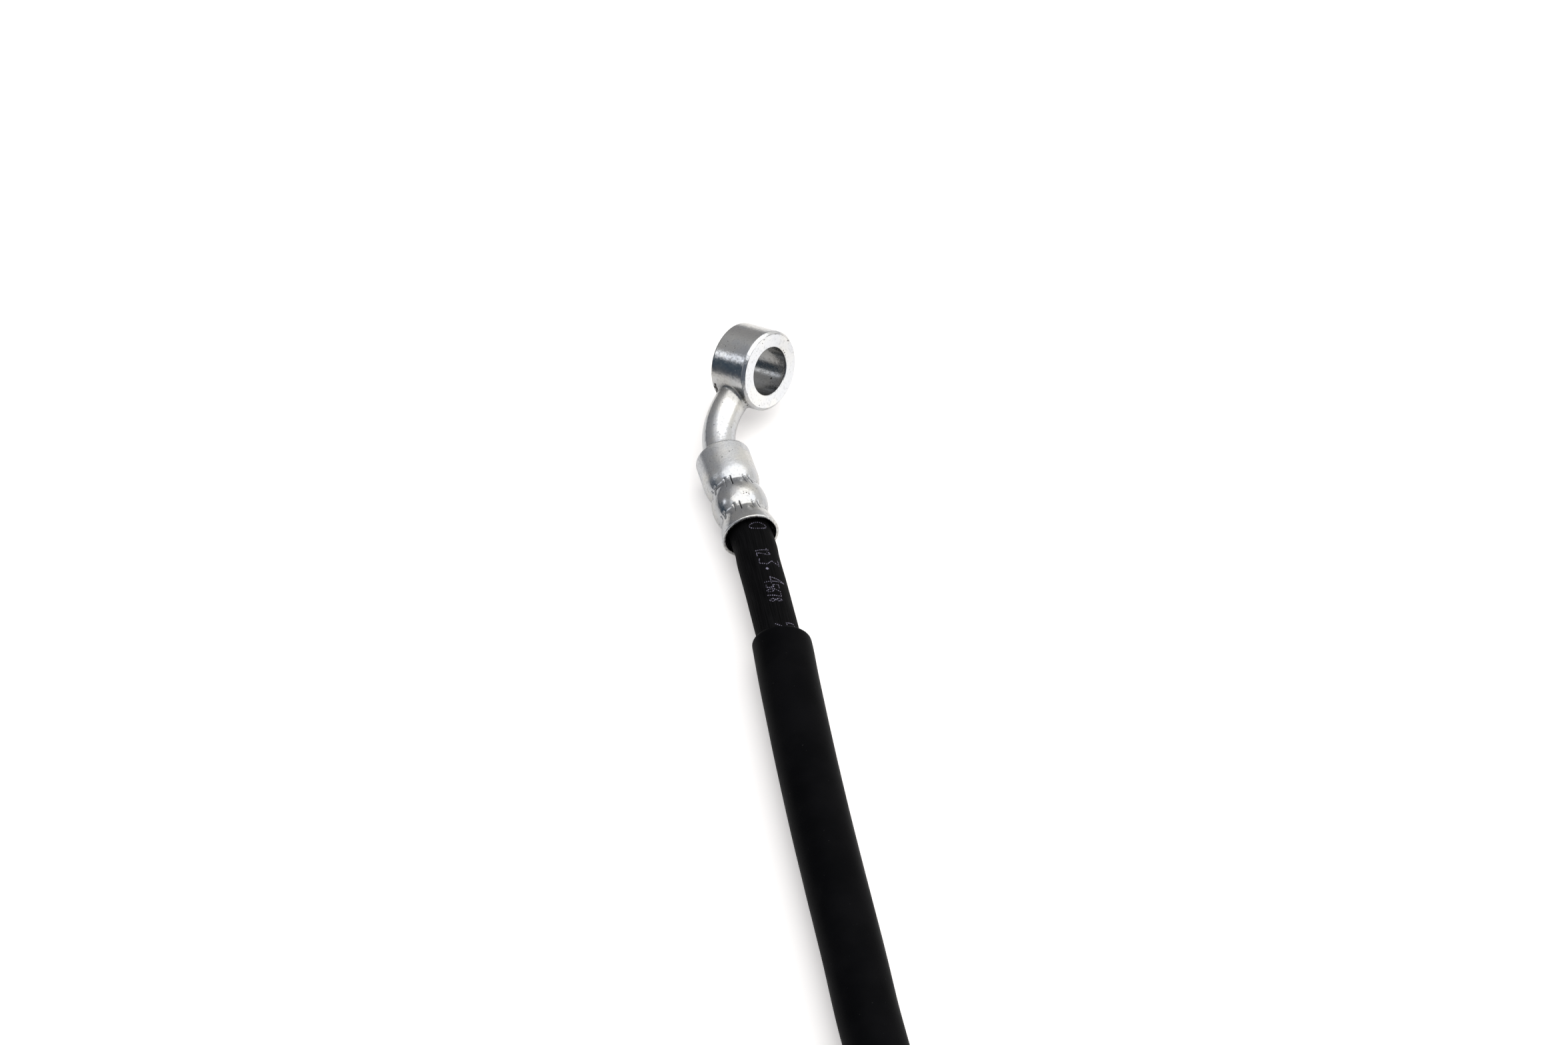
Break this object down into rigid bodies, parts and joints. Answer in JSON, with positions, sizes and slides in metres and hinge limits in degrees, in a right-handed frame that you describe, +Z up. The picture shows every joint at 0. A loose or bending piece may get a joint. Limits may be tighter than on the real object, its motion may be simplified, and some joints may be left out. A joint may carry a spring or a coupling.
{
  "type": "brake line",
  "caption": "Rubber brake hose with bent banjo fittings crimped on both ends and a loose protective sleeve over the middle.",
  "frame": {"origin": "middle of the footprint, on the table that the line lies on", "axes": "+Z up from the table, Y along the line, with the first banjo fitting at +Y"},
  "size_m": [0.0905, 0.4694, 0.0253],
  "materials": {
    "plated_steel": "bright zinc plate with fine specks and small nicks",
    "ferrule_steel": "bright zinc plate, marked by the crimping jaws",
    "hose_rubber": "black rubber with fine lengthwise lines and a pale dotted print",
    "sleeve_rubber": "smooth matte black rubber"
  },
  "bodies": {
    "root": {"banjo_eye_a": "plated_steel", "bent_stem_a": "plated_steel", "crimp_ferrule_a": "ferrule_steel", "banjo_eye_b": "plated_steel", "bent_stem_b": "plated_steel", "crimp_ferrule_b": "ferrule_steel", "hose": "hose_rubber", "sleeve": "sleeve_rubber"}
  },
  "joints": []
}
